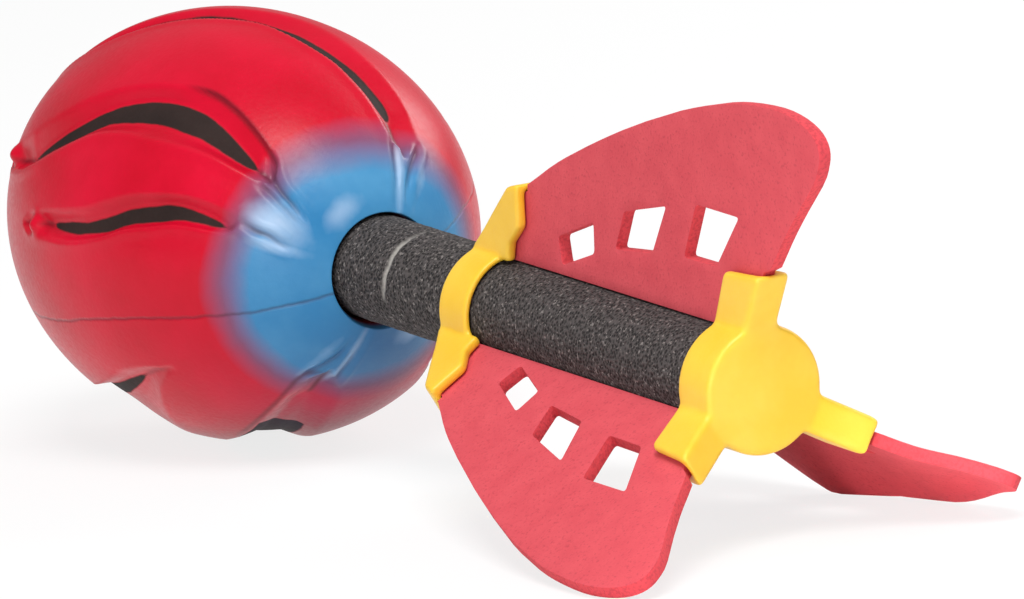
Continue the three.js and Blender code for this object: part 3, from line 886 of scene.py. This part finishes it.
class Finish:
    """A material with a Principled shader, and short ways to add nodes to it. They take plain
    values or other nodes' outputs, and give the new node's output back."""

    def __init__(self, name):
        self.material = bpy.data.materials.new(name)
        self.material.use_nodes = True
        self.tree = self.material.node_tree
        self.shader = self.tree.nodes["Principled BSDF"]

    def feed(self, made, values):
        """Sets or links a node's inputs, told by name or by number."""
        for key, value in values.items():
            if isinstance(value, bpy.types.NodeSocket):
                self.tree.links.new(value, made.inputs[key])
            else:
                made.inputs[key].default_value = value

    def node(self, kind, values, **settings):
        """The outputs of a new node with these inputs and settings."""
        made = self.tree.nodes.new("ShaderNode" + kind)
        for key, value in settings.items():
            setattr(made, key, value)
        self.feed(made, values)
        return made.outputs

    def noise(self, scale, detail=3.0):
        """Noise on the object's own coordinates; scale is in waves to a metre."""
        place = self.node("TexCoord", {})["Object"]
        return self.node("TexNoise", {"Vector": place, "Scale": scale, "Detail": detail,
                                      "Roughness": 0.55})["Fac"]

    def mark(self, name):
        """The number stored on the piece's points under that name."""
        return self.node("Attribute", {}, attribute_name=name)["Fac"]

    def count(self, operation, *values):
        """An operation on single numbers."""
        return self.node("Math", dict(enumerate(values)), operation=operation)[0]

    def spread(self, source, low, high, to_low=0.0, to_high=1.0):
        """Maps a value from low to high onto another range, held at both ends."""
        return self.node("MapRange", {"Value": source, "From Min": low, "From Max": high,
                                      "To Min": to_low, "To Max": to_high})["Result"]

    def mix(self, share, first, second):
        """A mix of two colours."""
        first, second = (linear(*colour) if isinstance(colour, tuple) else colour
                         for colour in (first, second))
        return self.node("Mix", {0: share, 6: first, 7: second}, data_type="RGBA")[2]

    def layered(self, colour, *layers):
        """A colour under layers, each the share that it covers and its own colour."""
        for share, layer in layers:
            colour = self.mix(share, colour, layer)
        return colour

    def bump(self, height, depth_mm, **under):
        """A bump of the given depth, laid over another if its Normal is given."""
        return self.node("Bump", {"Height": height, "Distance": depth_mm * MM, **under})["Normal"]

    def wear(self, pieces, looks):
        """Sets the shader's inputs and puts the material on the pieces."""
        self.feed(self.shader, looks)
        for piece in pieces:
            piece.data.materials.append(self.material)
        print(self.material.name, "has", len(self.tree.nodes), "nodes")


# %% [markdown]
# The ball's foam is red all through. Blue is sprayed round the mouth and black is painted into
# the flames. Both are told by numbers stored on the surface: the distance past the spray's edge
# fades the blue out through a dusky blend with the red, and the distance inside a flame's floor
# cuts the matt black off almost sharply. Light and shade are painted in too: a painted shade
# darkens the lower side, painted highlights pale the blue on the facets between the creases,
# and painted shade darkens the sharp valleys, the upper rims and the creases. Dirt sits in the
# hair-thin seam. Inside the mouth the foam is bare. So the colour is a stack of layers, each
# covering a share of those under it.

# %% Ball skin
RED = (194, 0, 34), (212, 4, 46)
BLUE = (48, 124, 176), (80, 148, 193)
BLACK = (34, 24, 22), (52, 38, 35)
DUSKY = (132, 76, 108)
# The colour and share of the painted shade on the lower side.
UNDERSIDE_SHADE, UNDERSIDE_SHADE_SHARE = (60, 46, 82), 0.45
# The colour and share of the painted highlight on the facets.
HIGHLIGHT, HIGHLIGHT_SHARE = (176, 200, 228), 0.9
# The colour and share of the painted shade in the valleys and along the upper rims.
VALLEY_SHADE, VALLEY_SHADE_SHARE = (74, 14, 26), 0.75
# Dirt in the seam, and the painted shade in the creases.
SEAM_DIRT_AND_CREASE_SHADE = (62, 26, 44)
SEAM_SHARES = (0.5, 0.12)
CREASE_SHARE = 0.55
BARE_FOAM = (128, 22, 34)
SPRAY_START = 1.2
SPRAY_FADE = 4.6
SPRAY_GRAIN = 5.0
PAINT_EDGE = (0.15, 0.65)
PAINT_WOBBLE = 0.8
SEAM_HALF = 0.6
SEAM_WOBBLE = 1.2

skin = Finish("ball skin")
mottle = skin.noise(38.0, 4.0)
wobble = skin.noise(160.0)
fine = skin.noise(900.0, 2.0)
patchy = skin.spread(mottle, 0.35, 0.7)
spray = skin.count("MULTIPLY_ADD", mottle, SPRAY_GRAIN, skin.mark("spray_ahead"))
flame_edge = skin.count("MULTIPLY_ADD", wobble, PAINT_WOBBLE, skin.mark("flame_inside"))
painted_highlight = skin.count("MULTIPLY_ADD", wobble, 0.25, skin.mark("facet_highlight"))
seam = skin.count("MULTIPLY_ADD", wobble, SEAM_WOBBLE, skin.mark("seam_side"))
seam_line = skin.spread(skin.count("ABSOLUTE", seam), 0, SEAM_HALF, 1, 0)
seam_dirt = skin.count("MULTIPLY", seam_line,
                       skin.spread(skin.mark("far_side"), 0, 1, *SEAM_SHARES))
# A painted shade darkens the creases by their depth.
crease_shade = skin.spread(skin.mark("crease_depth"), 0.35, 1, 0, CREASE_SHARE)
colour = skin.layered(
    skin.mix(patchy, *RED),
    (skin.spread(spray, SPRAY_START + SPRAY_FADE, SPRAY_START), DUSKY),
    (skin.spread(spray, SPRAY_START, SPRAY_START - SPRAY_FADE), skin.mix(patchy, *BLUE)),
    (skin.spread(flame_edge, *PAINT_EDGE), skin.mix(skin.spread(mottle, 0.3, 0.7), *BLACK)),
    # painted shade on the lower side
    (skin.spread(skin.mark("underside_shade"), 0, 1, 0, UNDERSIDE_SHADE_SHARE), UNDERSIDE_SHADE),
    # painted highlight on the facets
    (skin.spread(painted_highlight, 0.22, 0.8, 0, HIGHLIGHT_SHARE), HIGHLIGHT),
    # painted shade in the valleys and along the upper rims
    (skin.spread(skin.mark("valley_shade"), 0.1, 0.9, 0, VALLEY_SHADE_SHARE), VALLEY_SHADE),
    # dirt in the seam, and painted shade in the creases
    (skin.count("MAXIMUM", seam_dirt, crease_shade), SEAM_DIRT_AND_CREASE_SHADE),
    (skin.spread(skin.mark("bare"), 0.3, 0.7), BARE_FOAM))
seam_groove = skin.bump(skin.spread(seam_line, 0, 1, 1, 0), 0.2)
skin.wear([ball], {
    "Base Color": colour,
    "Roughness": skin.count("ADD", skin.spread(flame_edge, *PAINT_EDGE, 0, 0.45),
                            skin.spread(fine, 0.3, 0.7, 0.30, 0.40)),
    "Specular IOR Level": 0.22, "Coat Weight": 0.06, "Coat Roughness": 0.3,
    "Normal": skin.bump(fine, 0.05, Normal=seam_groove)})

# %% [markdown]
# The sleeve's foam is a mass of open cells with bright walls: dark holes between light specks.
# Voronoi cells give the walls and a fine noise the specks. The crease is scuffed pale.

# %% Sleeve foam
HOLES, WALLS, SPECKS = (28, 26, 26), (84, 79, 78), (126, 120, 117)
SCUFF, SCUFF_SHARE = (172, 168, 162), 0.85

foam = Finish("open cell foam")
walls = foam.node("TexVoronoi", {"Vector": foam.node("TexCoord", {})["Object"],
                                 "Scale": 1250.0})["Distance"]
colour = foam.layered(HOLES, (foam.spread(walls, 0.2, 0.75), WALLS),
                      (foam.spread(foam.noise(1100.0, 2.0), 0.60, 0.68), SPECKS),
                      (foam.spread(foam.mark("crease"), 0.1, 0.8, 0, SCUFF_SHARE), SCUFF))
foam.wear([sleeve], {"Base Color": colour, "Roughness": 0.92, "Specular IOR Level": 0.25,
                     "Normal": foam.bump(walls, 0.3)})

# %% [markdown]
# The yellow mouldings are a soft plastic: a warm even yellow with a satin skin, faint flow
# marks, and a little light passing through thin walls.

# %% Yellow plastic
YELLOW = (243, 194, 44), (248, 204, 67)

plastic = Finish("yellow plastic")
satin = plastic.noise(1400.0, 2.0)
plastic.wear([collar, end_cap], {
    "Base Color": plastic.mix(plastic.spread(plastic.noise(60.0), 0.35, 0.65), *YELLOW),
    "Roughness": plastic.spread(satin, 0.3, 0.7, 0.36, 0.48),
    "Normal": plastic.bump(satin, 0.04),
    "Subsurface Weight": 0.12, "Subsurface Radius": (0.004, 0.0025, 0.0008)})

# %% [markdown]
# The fins' foam sheet is close-celled: matt, pinkish red, with a fine mottling of pinholes,
# which show more on the cut edges.

# %% Fin foam
SHEET = (208, 76, 86), (216, 84, 93)
CUT_EDGE = (217, 73, 82)
PINHOLES, PINHOLE_SHARE = (160, 44, 56), 0.4

sheet = Finish("fin foam sheet")
pin = sheet.noise(1300.0, 2.0)
cut = sheet.mark("cut_edge")
holes = sheet.spread(sheet.count("MULTIPLY_ADD", cut, 0.09, pin), 0.56, 0.72, 0, PINHOLE_SHARE)
colour = sheet.layered(SHEET[0], (sheet.spread(sheet.noise(170.0), 0.3, 0.7), SHEET[1]),
                       (cut, CUT_EDGE), (holes, PINHOLES))
sheet.wear(fins, {"Base Color": colour, "Roughness": 0.85, "Specular IOR Level": 0.3,
                  "Normal": sheet.bump(pin, 0.12)})

# %% [markdown]
# The tube and the insert are hidden by the foam, and are plain milky plastic.

# %% Hidden plastic
MILKY = (206, 205, 198), (222, 221, 214)

milky = Finish("milky plastic")
hidden = [frame["nodes"][name] for name in ("tail_tube", "head_insert")]
for part in hidden:
    part.data.materials.clear()
milky.wear(hidden, {"Base Color": milky.mix(milky.noise(80.0), *MILKY), "Roughness": 0.5})

# %% [markdown]
# ## Floor, light and camera
#
# The photograph is a plain studio shot on white. A wide white floor takes the soft shadow. It
# glows for the rays that show it, so that it reads as white and still keeps the shadow.

# %% Floor
FLOOR_HALF = 12
GLOW_SHARE = 0.8

floor_mesh = bpy.data.meshes.new("floor")
floor_mesh.from_pydata([(x * FLOOR_HALF, y * FLOOR_HALF, 0)
                        for x, y in ((-1, -1), (1, -1), (1, 1), (-1, 1))], [], [(0, 1, 2, 3)])
floor = placed_object("floor", floor_mesh)
paper = Finish("white paper")
ray = paper.node("LightPath", {})
direct = paper.count("MAXIMUM", ray["Is Camera Ray"], ray["Is Glossy Ray"])
seen = paper.count("MAXIMUM", direct, ray["Is Transmission Ray"])
glow = paper.node("Emission", {})
blend = paper.node("MixShader", {0: paper.count("MULTIPLY", seen, GLOW_SHARE),
                                 1: paper.shader.outputs[0], 2: glow[0]})
paper.feed(paper.tree.nodes["Material Output"], {"Surface": blend[0]})
paper.wear([floor], {"Base Color": (0.93, 0.93, 0.93, 1), "Roughness": 0.9,
                     "Specular IOR Level": 0.1})

# %% [markdown]
# A large key lamp above and a side lamp beside the camera give broad, soft highlights on the
# ball, and a rim lamp stands on the far side. Some light also comes from below, so a small low
# lamp with a narrow beam lights the underside of the drooping fin.

# %% World and lamps
world = bpy.data.worlds.new("studio")
bpy.context.scene.world = world
world.use_nodes = True
background = world.node_tree.nodes["Background"]
background.inputs["Color"].default_value = (1, 1, 1, 1)
background.inputs["Strength"].default_value = 0.32
TOY_MIDDLE = (0.05, 0, 0.05)


def soft_lamp(name, place, target, size, power, spread_degrees=180):
    """A square area lamp at place, facing target, of a size in metres and a power in watts. A
    smaller spread keeps its light near the target."""
    lamp = bpy.data.lights.new(name, "AREA")
    lamp.size = size
    lamp.energy = power
    lamp.spread = math.radians(spread_degrees)
    made = placed_object(name, lamp)
    made.location = place
    made.rotation_euler = (Vector(target) - Vector(place)).to_track_quat("-Z", "Y").to_euler()


soft_lamp("key", (-0.7, 0.35, 1.6), TOY_MIDDLE, 0.9, 26.5)
soft_lamp("side", (-1.2, 1.4, 0.3), TOY_MIDDLE, 0.6, 8)
soft_lamp("low", (-0.6, 0.62, 0.06), (-0.2, -0.1, -0.03), 0.08, 0.14, spread_degrees=18)
soft_lamp("rim", (0.35, -1.3, 0.8), (0.1, 0, 0.05), 0.8, 10)

# %% [markdown]
# The camera was found by fitting the photograph's edges: the cap's rim, the collar, the fin
# windows and the ball's outline. It is far away with a long lens, a little above the toy and
# rolled by a few degrees. Its place is said in the toy's axes.

# %% Camera
CAMERA_PLACE = np.array([-2468.12, 1470.78, 669.69])
CAMERA_AXES = np.array([[-0.505584, 0.161774, -0.847475],
                        [-0.860962, -0.158292, 0.483413],
                        [-0.055945, 0.974050, 0.219311]])
camera_data = bpy.data.cameras.new("camera")
camera_data.lens = 470.07
camera_data.clip_end = 100.0
camera = placed_object("camera", camera_data)
camera.matrix_world = (Matrix.Translation(Vector(placed(CAMERA_PLACE)))
                       @ Matrix((PLACE_TURN @ CAMERA_AXES).tolist()).to_4x4())
bpy.context.scene.camera = camera
bpy.context.scene.view_settings.view_transform = "Standard"
